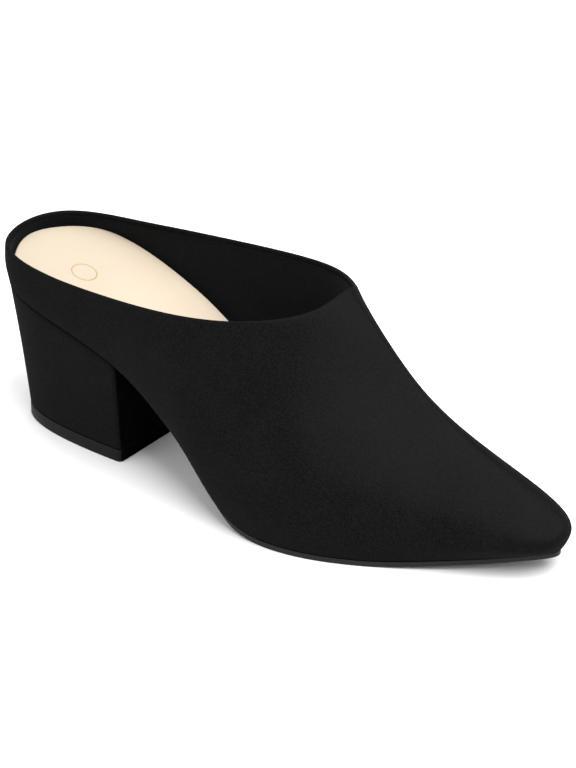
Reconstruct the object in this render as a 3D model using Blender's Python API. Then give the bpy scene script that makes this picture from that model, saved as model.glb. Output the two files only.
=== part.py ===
# Mule shoe for the right foot, on a block heel. Metres, +X to the toe, +Y to the inner side of the
# foot, +Z up, ground at z = 0. It is set out from the back of the heel and centred at the end.
import math

import bmesh
import bpy
import numpy as np

# Last
LENGTH = 0.250
BALL_WIDTH = 0.077
COLLAR_LENGTH = 0.159
COLLAR_WIDTH = 0.068
INSTEP_RISE = 0.0865
FULLNESS = 0.010
HEEL_PITCH = 0.0645
TOE_SPRING = 0.007

# Upper and insole
WALL = 0.002
LASTING_MARGIN = 0.013
INSOLE_THICKNESS = 0.0037
INSOLE_EDGE_ROUND = 0.0008

# Outsole
SOLE_THICKNESS = 0.0024
SOLE_EDGE_ROUND = 0.0005

# Heel and its top piece
HEEL_BASE_BACK = 0.0067
HEEL_BASE_LENGTH = 0.0598
HEEL_BASE_WIDTH = 0.0456
HEEL_SQUARENESS = 2.9
SEAT_LENGTH = 0.070
SEAT_INSET = 0.0002
HEEL_CORNER_ROUND = 0.002
TOP_PIECE_HEIGHT = 0.0055

# Space between pieces that are glued together
GAP = 0.0003

# Mesh
STATIONS = 112
WALL_ROWS = 13
ROW_CROWDING = 1.3
FIRST_INNER_ROW = 1.8
RIM_STEPS = 4
HEEL_RUNGS = 14
CORNER_STEPS = 3
HEEL_LEVELS = 4
LEAST_RUNG = 0.25
SLOPE_STEP = 0.02
SHARP_ANGLE = 35
OUTLINE_ROWS = 41

# Sections of the last, from the back of the heel to the toe. x is a share of LENGTH, outer and inner
# are shares of BALL_WIDTH, collar_x of COLLAR_LENGTH, collar_outer and collar_inner of COLLAR_WIDTH,
# rise (height of the collar over the sole line) of INSTEP_RISE, margin of LASTING_MARGIN. low_place
# is how far up the section its lowest fullness sits.
SECTION_COLUMNS = ("x", "outer", "inner", "collar_x", "collar_outer", "collar_inner", "rise",
                   "low_place", "margin")
SECTIONS = (
    (0.000, 0.000, 0.000, -0.002, 0.000, 0.000, 0.128, 0.12, 1.00),
    (0.021, 0.204, 0.206, 0.048, 0.304, 0.304, 0.129, 0.12, 1.00),
    (0.088, 0.383, 0.388, 0.216, 0.441, 0.442, 0.167, 0.12, 1.00),
    (0.302, 0.391, 0.396, 0.411, 0.497, 0.496, 0.385, 0.12, 1.00),
    (0.504, 0.486, 0.409, 0.667, 0.513, 0.503, 0.854, 0.12, 1.00),
    (0.634, 0.503, 0.500, 0.840, 0.404, 0.441, 0.964, 0.12, 1.00),
    (0.772, 0.330, 0.439, 0.950, 0.222, 0.268, 1.002, 0.11, 0.90),
    (0.960, -0.056, 0.305, 0.993, 0.046, 0.125, 0.994, 0.05, 0.45),
    (1.000, -0.185, 0.185, 1.000, -0.040, 0.040, 0.992, 0.04, 0.40),
)

# How far each section stands out from the straight line between the sole line and the collar, low
# down, in the middle and high up, as shares of FULLNESS, on the outer and on the inner side.
FULLNESS_COLUMNS = ("outer_low", "outer_mid", "outer_high", "inner_low", "inner_mid", "inner_high")
FULLNESS_SHARES = (
    (0.02, 0.03, 0.02, 0.02, 0.03, 0.02),
    (0.06, 0.12, 0.08, 0.06, 0.12, 0.08),
    (0.05, 0.12, 0.08, 0.05, 0.12, 0.08),
    (0.08, 0.15, 0.10, 0.08, 0.15, 0.10),
    (0.21, 0.30, 0.20, 0.20, 0.30, 0.20),
    (0.35, 0.42, 0.14, 0.28, 0.32, 0.07),
    (0.42, 0.36, -0.04, 0.46, 0.22, -0.20),
    (0.95, 0.10, -0.34, 0.70, 0.00, -0.38),
    (0.90, 0.02, -0.38, 0.90, 0.02, -0.38),
)
PLACES_UP = (0.0, 0.12, 0.40, 0.72, 1.0)
# The fullness stands out square to the sole's outline low down and square to the collar high up
TURN_TO_COLLAR = (0.0, 0.5, 1.0)
# Near the toe the skin is rounded off from one section to the next. The spreads are shares of the
# way round the outline, and the rounding grows from none to all between two places up a section.
TOE_SPREAD = 0.08
RIDGE_ROUND = 0.018
RIDGE_START = 0.30
RIDGE_FULL = 0.50

# Sole line from the heel to the toe: x is a share of LENGTH, seat of HEEL_PITCH, spring of TOE_SPRING.
SOLE_LINE_COLUMNS = ("x", "seat", "spring")
SOLE_LINE = (
    (0.000, 1.000, 0.00),
    (0.102, 0.922, 0.00),
    (0.270, 0.723, 0.00),
    (0.400, 0.434, 0.00),
    (0.552, 0.016, 0.00),
    (0.608, 0.000, 0.00),
    (0.740, 0.000, 0.00),
    (0.888, 0.000, 0.43),
    (1.000, 0.000, 1.00),
)

# Outsole along its length: x is a share of LENGTH, inset of LASTING_MARGIN, thickness of SOLE_THICKNESS.
EDGE_COLUMNS = ("x", "inset", "thickness")
SOLE_EDGE = (
    (0.28, 0.18, 0.70),
    (0.38, 0.18, 0.70),
    (0.50, 0.10, 0.85),
    (0.58, 0.025, 1.00),
    (0.74, 0.025, 1.00),
    (0.90, 0.025, 0.92),
    (1.00, 0.025, 0.85),
)

# Colours are linear RGB
FINISHES = {
    "upper": ((0.011, 0.011, 0.012), 0.92),
    "insole": ((0.86, 0.75, 0.60), 0.55),
    "outsole": ((0.014, 0.014, 0.014), 0.60),
    "heel": ((0.010, 0.010, 0.011), 0.92),
    "top_piece": ((0.016, 0.016, 0.017), 0.45),
}


def column(table, columns, name):
    return np.array([row[columns.index(name)] for row in table], float)


def along_table(places, values, x):
    """Curve through a table's values that never runs past them, flat where neighbours are equal."""
    x = np.clip(np.asarray(x, float), places[0], places[-1])
    step = np.diff(places)
    rate = np.diff(values) / step
    slope = np.zeros(len(places))
    slope[0] = rate[0]
    slope[-1] = rate[-1]
    for i in range(1, len(places) - 1):
        if rate[i - 1] * rate[i] > 0:
            before = 2 * step[i] + step[i - 1]
            after = step[i] + 2 * step[i - 1]
            slope[i] = (before + after) / (before / rate[i - 1] + after / rate[i])
    i = np.clip(np.searchsorted(places, x, side="right") - 1, 0, len(places) - 2)
    u = (x - places[i]) / step[i]
    start = (1 + 2 * u) * (1 - u) ** 2 * values[i] + u * (1 - u) ** 2 * step[i] * slope[i]
    end = u * u * (3 - 2 * u) * values[i + 1] + u * u * (u - 1) * step[i] * slope[i + 1]
    return start + end


def cubic(left, right, bend_left, bend_right, width, from_left):
    """Point of a cubic span from its end values and their second derivatives."""
    from_right = width - from_left
    swing = bend_left * from_right ** 3 + bend_right * from_left ** 3
    start = (left / width - bend_left * width / 6) * from_right
    end = (right / width - bend_right * width / 6) * from_left
    return swing / (6 * width) + start + end


def closed_curve(places, values, period, at):
    """Smooth closed curve through rows of values."""
    count = len(places)
    knots = np.append(places, places[0] + period)
    step = np.diff(knots)
    ring = np.vstack([values, values[:1]])
    system = np.zeros((count, count))
    right_side = np.zeros(values.shape)
    for i in range(count):
        system[i, i - 1] += step[i - 1]
        system[i, i] += 2 * (step[i - 1] + step[i])
        system[i, (i + 1) % count] += step[i]
        ahead = (ring[i + 1] - ring[i]) / step[i]
        behind = (ring[i] - values[i - 1]) / step[i - 1]
        right_side[i] = 6 * (ahead - behind)
    bend = np.linalg.solve(system, right_side)
    bend = np.vstack([bend, bend[:1]])
    at = np.mod(at, period)
    i = np.clip(np.searchsorted(knots, at, side="right") - 1, 0, count - 1)
    width = step[i][:, None]
    from_left = (at - knots[i])[:, None]
    return cubic(ring[i], ring[i + 1], bend[i], bend[i + 1], width, from_left)


def open_curve(places, points, at):
    """Smooth curve up each station through its points; at holds shares, rows by stations."""
    places = np.array(places)
    count = len(places)
    step = np.diff(places)
    system = np.eye(count)
    right_side = np.zeros(points.shape)
    for i in range(1, count - 1):
        system[i, i - 1:i + 2] = (step[i - 1], 2 * (step[i - 1] + step[i]), step[i])
        ahead = (points[i + 1] - points[i]) / step[i]
        behind = (points[i] - points[i - 1]) / step[i - 1]
        right_side[i] = 6 * (ahead - behind)
    bend = np.linalg.solve(system, right_side.reshape(count, -1)).reshape(points.shape)
    i = np.clip(np.searchsorted(places, at, side="right") - 1, 0, count - 2)
    station = np.arange(points.shape[1])[None, :]
    width = step[i][..., None]
    from_left = (at - places[i])[..., None]
    return cubic(points[i, station], points[i + 1, station], bend[i, station], bend[i + 1, station],
                 width, from_left)


def unit(vectors):
    return vectors / np.linalg.norm(vectors, axis=-1, keepdims=True)


def square_to(change):
    """Outward directions, level, from the changes of x and y along an outline."""
    along = unit(change)
    return np.column_stack([along[:, 1], -along[:, 0], np.zeros(len(along))])


def sole_line(x):
    """Height of the last's underside over the ground."""
    places = column(SOLE_LINE, SOLE_LINE_COLUMNS, "x") * LENGTH
    seat = column(SOLE_LINE, SOLE_LINE_COLUMNS, "seat") * HEEL_PITCH
    spring = column(SOLE_LINE, SOLE_LINE_COLUMNS, "spring") * TOE_SPRING
    return SOLE_THICKNESS + GAP + along_table(places, seat + spring, x)


class Last:
    """The shape that every piece follows: its outline underneath, its collar and its skin between."""

    def __init__(self):
        named = {name: column(SECTIONS, SECTION_COLUMNS, name) for name in SECTION_COLUMNS}
        named.update({name: column(FULLNESS_SHARES, FULLNESS_COLUMNS, name) for name in FULLNESS_COLUMNS})
        foot_x = named["x"] * LENGTH
        collar_z = sole_line(foot_x) + named["rise"] * INSTEP_RISE

        def side(name, hand):
            return np.column_stack([
                foot_x,
                hand * named[name] * BALL_WIDTH,
                named["collar_x"] * COLLAR_LENGTH,
                hand * named["collar_" + name] * COLLAR_WIDTH,
                collar_z,
                named["low_place"],
                named["margin"] * LASTING_MARGIN,
                named[name + "_low"] * FULLNESS,
                named[name + "_mid"] * FULLNESS,
                named[name + "_high"] * FULLNESS,
            ])

        outer = side("outer", -1)
        inner = side("inner", 1)
        keys = np.vstack([outer, inner[-2:0:-1]])
        # Both sides share one spacing, so that a station and its partner across the foot have one x
        spacing = np.linalg.norm(np.roll(keys[:, :2], -1, axis=0) - keys[:, :2], axis=1) ** 0.5
        spacing = (spacing + spacing[::-1]) / 2
        places = np.concatenate([[0], np.cumsum(spacing)[:-1]])
        period = spacing.sum()
        at = np.arange(STATIONS) / STATIONS * period
        values = closed_curve(places, keys, period, at)
        nudge = SLOPE_STEP * period / STATIONS
        change = closed_curve(places, keys, period, at + nudge) - closed_curve(places, keys, period, at - nudge)
        self.outward = square_to(change[:, :2])
        collar_outward = square_to(change[:, 2:4])
        self.foot = np.column_stack([values[:, 0], values[:, 1], sole_line(values[:, 0])])
        self.collar = values[:, 2:5]
        self.margin = values[:, 6]
        up = self.collar - self.foot
        chord = unit(up)
        shares = (values[:, 5], np.full(STATIONS, PLACES_UP[2]), np.full(STATIONS, PLACES_UP[3]))
        points = [self.foot]
        for k, turn in enumerate(TURN_TO_COLLAR):
            out = (1 - turn) * self.outward + turn * collar_outward
            out = unit(out - (out * chord).sum(axis=1, keepdims=True) * chord)
            points.append(self.foot + shares[k][:, None] * up + values[:, 7 + k][:, None] * out)
        self.points = np.array(points + [self.collar])
        self.height = np.linalg.norm(up, axis=1)
        from_toe = np.arange(STATIONS) / STATIONS - 0.5
        apart = np.abs(from_toe[:, None] - from_toe)
        weight = np.exp(-(np.minimum(apart, 1 - apart) / RIDGE_ROUND) ** 2)
        self.rounding = weight / weight.sum(axis=1, keepdims=True) - np.eye(STATIONS)
        self.nearness = np.exp(-(from_toe / TOE_SPREAD) ** 2)

    def skin(self, shares):
        skin = open_curve(PLACES_UP, self.points, shares)
        risen = np.clip((shares - RIDGE_START) / (RIDGE_FULL - RIDGE_START), 0, 1)
        kept = np.clip((1 - shares) / (1 - RIDGE_FULL), 0, 1)
        amount = self.nearness * risen * risen * (3 - 2 * risen) * kept * (2 - kept)
        return skin + amount[:, :, None] * (self.rounding @ skin)

    def skin_frame(self, shares):
        """Outward normals of the skin and its directions up the sections."""
        nudge = SLOPE_STEP / WALL_ROWS
        low = np.clip(shares - nudge, 0, 1)
        high = np.clip(shares + nudge, 0, 1)
        upward = unit(self.skin(high) - self.skin(low))
        skin = self.skin(shares)
        onward = np.roll(skin, -1, axis=1) - np.roll(skin, 1, axis=1)
        return unit(np.cross(onward, upward)), upward

    def edge_inset(self, inset):
        """The outline underneath, moved in towards the foot."""
        moved = self.foot - self.outward * np.broadcast_to(inset, (STATIONS,))[:, None]
        return moved[:, :2]


LAST = Last()


def finish(name):
    colour, roughness = FINISHES[name]
    material = bpy.data.materials.new(name + "_finish")
    material.use_nodes = True
    shader = material.node_tree.nodes["Principled BSDF"]
    shader.inputs["Base Color"].default_value = (*colour, 1.0)
    shader.inputs["Roughness"].default_value = roughness
    shader.inputs["Metallic"].default_value = 0.0
    return material


def add_piece(name, mesh_data, centre):
    """Object from a bmesh, with its normals out, moved so that the shoe stands over the origin."""
    bmesh.ops.recalc_face_normals(mesh_data, faces=mesh_data.faces)
    bmesh.ops.translate(mesh_data, verts=mesh_data.verts, vec=(-centre[0], -centre[1], 0.0))
    mesh = bpy.data.meshes.new(name)
    mesh_data.to_mesh(mesh)
    mesh_data.free()
    mesh.materials.append(finish(name))
    mesh.shade_smooth()
    mesh.set_sharp_from_angle(angle=math.radians(SHARP_ANGLE))
    piece = bpy.data.objects.new(name, mesh)
    bpy.context.collection.objects.link(piece)
    return piece


def join_rings(mesh_data, low, high):
    """Faces between two closed rings of as many vertices."""
    count = len(low)
    for i in range(count):
        j = (i + 1) % count
        mesh_data.faces.new((low[i], low[j], high[j], high[i]))


def upper_piece(centre):
    """One shell: outer skin, rounded collar edge, inner skin, and the margin turned under the insole."""
    rise = np.linspace(0, 1, WALL_ROWS + 1)[:, None] ** ROW_CROWDING
    outer_shares = np.broadcast_to(rise, (WALL_ROWS + 1, STATIONS))
    outer = LAST.skin(outer_shares)
    first = FIRST_INNER_ROW * WALL / LAST.height[None, :]
    inner_shares = first + (1 - first) * rise
    normal, upward = LAST.skin_frame(inner_shares)
    inner = LAST.skin(inner_shares) - WALL * normal
    rings = list(outer)
    rim_normal = normal[-1]
    rim_middle = LAST.collar - rim_normal * WALL / 2
    for k in range(1, RIM_STEPS):
        turn = math.pi * k / RIM_STEPS
        rings.append(rim_middle + WALL / 2 * (math.cos(turn) * rim_normal + math.sin(turn) * upward[-1]))
    rings.extend(inner[::-1])

    def margin_ring(inset, lift):
        edge = LAST.edge_inset(inset)
        return np.column_stack([edge, sole_line(edge[:, 0]) + lift])

    middle = (LAST.margin + WALL) / 2
    for inset, lift in ((WALL, WALL), (middle, WALL), (LAST.margin, WALL), (LAST.margin, 0.0), (middle, 0.0)):
        rings.append(margin_ring(inset, lift))
    mesh_data = bmesh.new()
    rows = [[mesh_data.verts.new(point) for point in ring] for ring in rings]
    for k in range(len(rows)):
        join_rings(mesh_data, rows[k], rows[(k + 1) % len(rows)])
    return add_piece("upper", mesh_data, centre)


def rungs(inset, height, start=0.0):
    """Pairs of points straight across the foot, from the heel or a start to the toe."""
    edge = LAST.edge_inset(inset)
    half = STATIONS // 2
    outer = edge[:half + 1]
    inner = edge[[-k % STATIONS for k in range(half + 1)]]
    pairs = []
    for k in range(half + 1):
        middle_x = (outer[k, 0] + inner[k, 0]) / 2
        if middle_x > start + LEAST_RUNG * LENGTH / STATIONS:
            pairs.append([outer[k], inner[k]])
        elif k == 0 and start == 0:
            pairs.append([outer[k]])
    if start > 0:
        across = [np.array([start, np.interp(start, line[:, 0], line[:, 1])]) for line in (outer, inner)]
        pairs.insert(0, across)
    pairs[-1] = pairs[-1][:1]
    return [[(*point, float(height(point[0]))) for point in pair] for pair in pairs]


def stack(name, levels, centre):
    """Closed solid from levels of rungs, lowest first: walls join the levels, sheets close the ends."""
    mesh_data = bmesh.new()
    made = [[[mesh_data.verts.new(point) for point in rung] for rung in level] for level in levels]

    def boundary(level):
        there = [rung[0] for rung in level]
        back = [rung[-1] for rung in reversed(level) if len(rung) > 1]
        return there + back

    for level in (made[0], made[-1]):
        for a, b in zip(level, level[1:]):
            corners = a + b[::-1]
            mesh_data.faces.new(corners)
    for low, high in zip(made, made[1:]):
        join_rings(mesh_data, boundary(low), boundary(high))
    return add_piece(name, mesh_data, centre)


def insole_piece(centre):
    """Board and sock, lying on the margin and reaching the wall all round."""
    inset = WALL + GAP
    bottom = WALL + GAP
    top = bottom + INSOLE_THICKNESS
    levels = (
        (inset, bottom),
        (inset, top - INSOLE_EDGE_ROUND),
        (inset + INSOLE_EDGE_ROUND, top),
    )
    levels = [rungs(i, lambda x, lift=lift: sole_line(x) + lift) for i, lift in levels]
    return stack("insole", levels, centre)


def outsole_piece(centre):
    """Thin sole from the heel's breast to the toe, full at the tread and drawn in at the waist."""
    places = column(SOLE_EDGE, EDGE_COLUMNS, "x") * LENGTH
    inset = along_table(places, column(SOLE_EDGE, EDGE_COLUMNS, "inset") * LASTING_MARGIN, LAST.foot[:, 0])
    thickness = column(SOLE_EDGE, EDGE_COLUMNS, "thickness") * SOLE_THICKNESS
    start = SEAT_LENGTH + GAP

    def top(x):
        return sole_line(x) - GAP

    def bottom(x):
        return top(x) - along_table(places, thickness, x)

    levels = [
        rungs(inset + SOLE_EDGE_ROUND, bottom, start),
        rungs(inset, lambda x: bottom(x) + SOLE_EDGE_ROUND, start),
        rungs(inset, top, start),
    ]
    return stack("outsole", levels, centre)


def heel_rungs(back, front, half_width, height):
    """Rungs of a D outline with rounded front corners; half_width gives the two sides at an x."""
    straight = front - HEEL_CORNER_ROUND
    pairs = [[(back, 0.0, height(back))]]
    for k in range(1, HEEL_RUNGS + 1):
        x = back + (straight - back) * (1 - math.cos(math.pi / 2 * k / HEEL_RUNGS))
        outer, inner = half_width(x)
        pairs.append([(x, -outer, height(x)), (x, inner, height(x))])
    for k in range(1, CORNER_STEPS + 1):
        turn = math.pi / 2 * k / CORNER_STEPS
        x = straight + HEEL_CORNER_ROUND * math.sin(turn)
        less = HEEL_CORNER_ROUND * (1 - math.cos(turn))
        outer, inner = half_width(x)
        pairs.append([(x, less - outer, height(x)), (x, inner - less, height(x))])
    return pairs


def base_half_width(x):
    """Square-ended D of the heel's base: straight sides, back rounded at its corners."""
    along = (HEEL_BASE_BACK + HEEL_BASE_LENGTH - x) / HEEL_BASE_LENGTH
    half = HEEL_BASE_WIDTH / 2 * max(0.0, 1 - along ** HEEL_SQUARENESS) ** (1 / HEEL_SQUARENESS)
    return half, half


def seat_half_width(x):
    edge = LAST.edge_inset(SEAT_INSET)
    half = STATIONS // 2
    outer = edge[:half + 1]
    inner = edge[[-k % STATIONS for k in range(half + 1)]]
    return -np.interp(x, outer[:, 0], outer[:, 1]), np.interp(x, inner[:, 0], inner[:, 1])


def heel_piece(centre):
    """Block heel: seat under the upper's margin, straight walls, flat breast, base on the top piece."""
    base_z = TOP_PIECE_HEIGHT + GAP
    base = heel_rungs(HEEL_BASE_BACK, HEEL_BASE_BACK + HEEL_BASE_LENGTH, base_half_width, lambda x: base_z)
    seat = heel_rungs(SEAT_INSET, SEAT_LENGTH, seat_half_width, lambda x: float(sole_line(x)) - GAP)
    levels = []
    for k in range(HEEL_LEVELS + 1):
        share = k / HEEL_LEVELS
        levels.append([[np.array(low) + share * (np.array(high) - np.array(low)) for low, high in zip(a, b)]
                       for a, b in zip(base, seat)])
    return stack("heel", levels, centre)


def top_piece(centre):
    """Rubber tip of the heel, cut to the heel's base."""
    levels = []
    for z in (0.0, TOP_PIECE_HEIGHT):
        levels.append(heel_rungs(HEEL_BASE_BACK, HEEL_BASE_BACK + HEEL_BASE_LENGTH, base_half_width,
                                 lambda x, z=z: z))
    return stack("top_piece", levels, centre)


for old in list(bpy.data.objects):
    bpy.data.objects.remove(old, do_unlink=True)

SKIN = LAST.skin(np.linspace(0, 1, OUTLINE_ROWS)[:, None] * np.ones(STATIONS)).reshape(-1, 3)
CENTRE = (SKIN[:, :2].min(axis=0) + SKIN[:, :2].max(axis=0)) / 2

upper_piece(CENTRE)
insole_piece(CENTRE)
outsole_piece(CENTRE)
heel_piece(CENTRE)
top_piece(CENTRE)
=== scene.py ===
import math

import bpy
import numpy as np
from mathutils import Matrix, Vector


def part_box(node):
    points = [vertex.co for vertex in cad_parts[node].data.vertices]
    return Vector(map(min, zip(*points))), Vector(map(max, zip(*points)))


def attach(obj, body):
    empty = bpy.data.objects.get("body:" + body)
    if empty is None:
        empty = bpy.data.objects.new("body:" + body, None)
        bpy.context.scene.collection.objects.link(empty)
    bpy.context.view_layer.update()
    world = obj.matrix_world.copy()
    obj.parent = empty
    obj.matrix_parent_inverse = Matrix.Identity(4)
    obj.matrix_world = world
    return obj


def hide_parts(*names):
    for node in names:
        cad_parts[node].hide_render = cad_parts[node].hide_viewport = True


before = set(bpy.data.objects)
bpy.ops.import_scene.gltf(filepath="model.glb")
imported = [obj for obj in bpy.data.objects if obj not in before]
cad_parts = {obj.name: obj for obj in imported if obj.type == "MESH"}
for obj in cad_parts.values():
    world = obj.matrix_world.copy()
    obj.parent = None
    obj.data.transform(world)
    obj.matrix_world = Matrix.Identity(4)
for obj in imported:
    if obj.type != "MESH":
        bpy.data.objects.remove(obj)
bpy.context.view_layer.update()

# Camera: a long lens in front of the toe and above it, on the outer side of the shoe, with the
# whole shoe in the middle of an upright frame.
CAMERA_TURN = 37.28
CAMERA_RISE = 28.90
CAMERA_DISTANCE = 1.3
CAMERA_AIM = (-0.00127, 0.00072, 0.045)
LENS = 157.4
LENS_SHIFT = (0.02035, 0.00176)

turn = math.radians(CAMERA_TURN)
rise = math.radians(CAMERA_RISE)
away = Vector((math.sin(turn) * math.cos(rise), -math.cos(turn) * math.cos(rise), math.sin(rise)))
camera_data = bpy.data.cameras.new("camera")
camera_data.lens = LENS
camera_data.shift_x, camera_data.shift_y = LENS_SHIFT
camera = bpy.data.objects.new("camera", camera_data)
camera.location = Vector(CAMERA_AIM) + away * CAMERA_DISTANCE
camera.rotation_euler = away.to_track_quat("Z", "Y").to_euler()
bpy.context.scene.collection.objects.link(camera)
bpy.context.scene.camera = camera

# Light: a white room, a large soft light over the toe, a weaker one behind the heel and a low one
# beside the shoe that fills the shadow under the arch.
ROOM = 0.80
SOFT_LIGHTS = (
    ("light_over_toe", (0.55, -0.15, 1.15), 1.1, 24.0),
    ("light_over_heel", (-0.65, 0.55, 0.95), 0.8, 3.5),
    ("light_low_beside", (-0.35, -1.00, 0.35), 0.7, 3.0),
)
bpy.context.scene.view_settings.view_transform = "Standard"
world = bpy.data.worlds.new("room")
world.use_nodes = True
world.node_tree.nodes["Background"].inputs["Color"].default_value = (1.0, 1.0, 1.0, 1.0)
world.node_tree.nodes["Background"].inputs["Strength"].default_value = ROOM
bpy.context.scene.world = world
for name, place, size, power in SOFT_LIGHTS:
    light_data = bpy.data.lights.new(name, "AREA")
    light_data.size = size
    light_data.energy = power
    light = bpy.data.objects.new(name, light_data)
    light.location = place
    light.rotation_euler = Vector(place).to_track_quat("Z", "Y").to_euler()
    bpy.context.scene.collection.objects.link(light)


# Table: a plain white top that the shoe stands on, painted dull and so wide that it runs out of view
# on every side.
TABLE_SIZE = 8.0
TABLE_WHITE = (0.93, 0.93, 0.93, 1.0)
TABLE_ROUGHNESS = 0.9


class Socket:
    """A value that runs through a finish. Sums on it add Math nodes."""

    def __init__(self, finish, output):
        self.finish = finish
        self.output = output

    def joined(self, operation, first, second):
        return self.finish.node("Math", {"operation": operation}, {0: first, 1: second})

    def __add__(self, other):
        return self.joined("ADD", self, other)

    def __sub__(self, other):
        return self.joined("SUBTRACT", self, other)

    def __rsub__(self, other):
        return self.joined("SUBTRACT", other, self)

    def __mul__(self, other):
        return self.joined("MULTIPLY", self, other)

    __radd__ = __add__
    __rmul__ = __mul__

    def ramp(self, start, end):
        """0 below start, 1 above end, and smooth between them."""
        values = {"Value": self, "From Min": start, "From Max": end}
        return self.finish.node("MapRange", {"interpolation_type": "SMOOTHSTEP"}, values)


class Finish:
    """The material of one kind of surface, from a Principled shader."""

    def __init__(self, name, **values):
        self.material = bpy.data.materials.new(name)
        self.material.use_nodes = True
        self.tree = self.material.node_tree
        self.shader = self.tree.nodes["Principled BSDF"]
        for socket, value in values.items():
            self.shader.inputs[socket.replace("_", " ")].default_value = value

    def node(self, kind, settings, values, output=0):
        made = self.tree.nodes.new("ShaderNode" + kind)
        for name, value in settings.items():
            setattr(made, name, value)
        for place, value in values.items():
            if isinstance(value, Socket):
                self.tree.links.new(value.output, made.inputs[place])
            else:
                made.inputs[place].default_value = value
        return Socket(self, made.outputs[output])

    def place(self, stretch=(1.0, 1.0, 1.0)):
        """Where a point is on the piece, in metres, or stretched along an axis."""
        spot = self.node("TexCoord", {}, {}, "Object")
        return self.node("Mapping", {}, {"Vector": spot, "Scale": stretch})

    def noise(self, scale, detail, roughness, stretch=(1.0, 1.0, 1.0)):
        return self.node("TexNoise", {}, {
            "Vector": self.place(stretch),
            "Scale": scale,
            "Detail": detail,
            "Roughness": roughness,
        })

    def mixed(self, share, first, second):
        """One colour over another."""
        return self.node("Mix", {"data_type": "RGBA"}, {0: share, 6: first, 7: second}, 2)

    def wear(self, **links):
        """Feeds what varies over the surface to the shader."""
        for socket, value in links.items():
            self.tree.links.new(value.output, self.shader.inputs[socket.replace("_", " ")])

    def painted(self, name):
        """A mark that the piece carries on its points."""
        return self.node("Attribute", {"attribute_name": name}, {}, "Fac")

    def relief(self, height, depth, strength):
        """Raises what is high in a pattern, by a depth in metres."""
        values = {"Height": height, "Distance": depth, "Strength": strength}
        self.wear(Normal=self.node("Bump", {}, values))


bpy.ops.object.select_all(action="DESELECT")
bpy.ops.mesh.primitive_plane_add(size=TABLE_SIZE)
table = bpy.context.object
table.name = "table"
table_white = Finish("table_white", Base_Color=TABLE_WHITE, Roughness=TABLE_ROUGHNESS)
table_white.shader.inputs["Specular IOR Level"].default_value = 0.0
table.data.materials.append(table_white.material)


# Upper: black microsuede on a backing, one piece pulled over the last. Its topline is folded to the
# inside and glued, and its lower margin is turned under the insole.
LENGTH = 0.250
BALL_WIDTH = 0.077
COLLAR_LENGTH = 0.159
COLLAR_WIDTH = 0.068
INSTEP_RISE = 0.0865
FULLNESS = 0.010
HEEL_PITCH = 0.0645
TOE_SPRING = 0.007
LASTING_MARGIN = 0.013
SOLE_THICKNESS = 0.0024
GAP = 0.0003
WALL = 0.002
SUEDE_THICKNESS = 0.0017
STATIONS = 224
WALL_ROWS = 44
ROW_CROWDING = 1.3
RIM_STEPS = 8
EDGE_STEPS = 4
SLOPE_STEP = 0.02
FIRST_INNER_ROW = 1.8
FEATHER_ROUND = 0.0007
SMOOTH_ANGLE = 50
MERGED_WITHIN = 0.000002

# Sections of the last, from the back of the heel to the toe. x is a share of LENGTH, outer and inner
# are shares of BALL_WIDTH, collar_x of COLLAR_LENGTH, collar_outer and collar_inner of COLLAR_WIDTH,
# rise (height of the collar over the sole line) of INSTEP_RISE, margin of LASTING_MARGIN. low_place
# is how far up the section its lowest fullness sits.
SECTION_COLUMNS = ("x", "outer", "inner", "collar_x", "collar_outer", "collar_inner", "rise",
                   "low_place", "margin")
SECTIONS = (
    (0.000, 0.000, 0.000, -0.002, 0.000, 0.000, 0.128, 0.12, 1.00),
    (0.021, 0.204, 0.206, 0.048, 0.304, 0.304, 0.129, 0.12, 1.00),
    (0.088, 0.383, 0.388, 0.216, 0.441, 0.442, 0.167, 0.12, 1.00),
    (0.302, 0.391, 0.396, 0.411, 0.497, 0.496, 0.385, 0.12, 1.00),
    (0.504, 0.486, 0.409, 0.667, 0.513, 0.503, 0.854, 0.12, 1.00),
    (0.634, 0.503, 0.500, 0.840, 0.404, 0.441, 0.964, 0.12, 1.00),
    (0.772, 0.330, 0.439, 0.950, 0.222, 0.268, 1.002, 0.11, 0.90),
    (0.960, -0.056, 0.305, 0.993, 0.046, 0.125, 0.994, 0.05, 0.45),
    (1.000, -0.185, 0.185, 1.000, -0.040, 0.040, 0.992, 0.04, 0.40),
)

# How far each section stands out from the straight line between the sole line and the collar, low
# down, in the middle and high up, as shares of FULLNESS, on the outer and on the inner side.
FULLNESS_COLUMNS = ("outer_low", "outer_mid", "outer_high", "inner_low", "inner_mid", "inner_high")
FULLNESS_SHARES = (
    (0.02, 0.03, 0.02, 0.02, 0.03, 0.02),
    (0.06, 0.12, 0.08, 0.06, 0.12, 0.08),
    (0.05, 0.12, 0.08, 0.05, 0.12, 0.08),
    (0.08, 0.15, 0.10, 0.08, 0.15, 0.10),
    (0.21, 0.30, 0.20, 0.20, 0.30, 0.20),
    (0.35, 0.42, 0.14, 0.28, 0.32, 0.07),
    (0.42, 0.36, -0.04, 0.46, 0.22, -0.20),
    (0.95, 0.10, -0.34, 0.70, 0.00, -0.38),
    (0.90, 0.02, -0.38, 0.90, 0.02, -0.38),
)
PLACES_UP = (0.0, 0.12, 0.40, 0.72, 1.0)
# The fullness stands out square to the sole's outline low down and square to the collar high up.
TURN_TO_COLLAR = (0.0, 0.5, 1.0)
# Near the toe the skin is rounded off from one section to the next. The spreads are shares of the
# way round the outline, and the rounding grows from none to all between two places up a section.
TOE_SPREAD = 0.08
RIDGE_ROUND = 0.018
RIDGE_START = 0.30
RIDGE_FULL = 0.50

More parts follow.
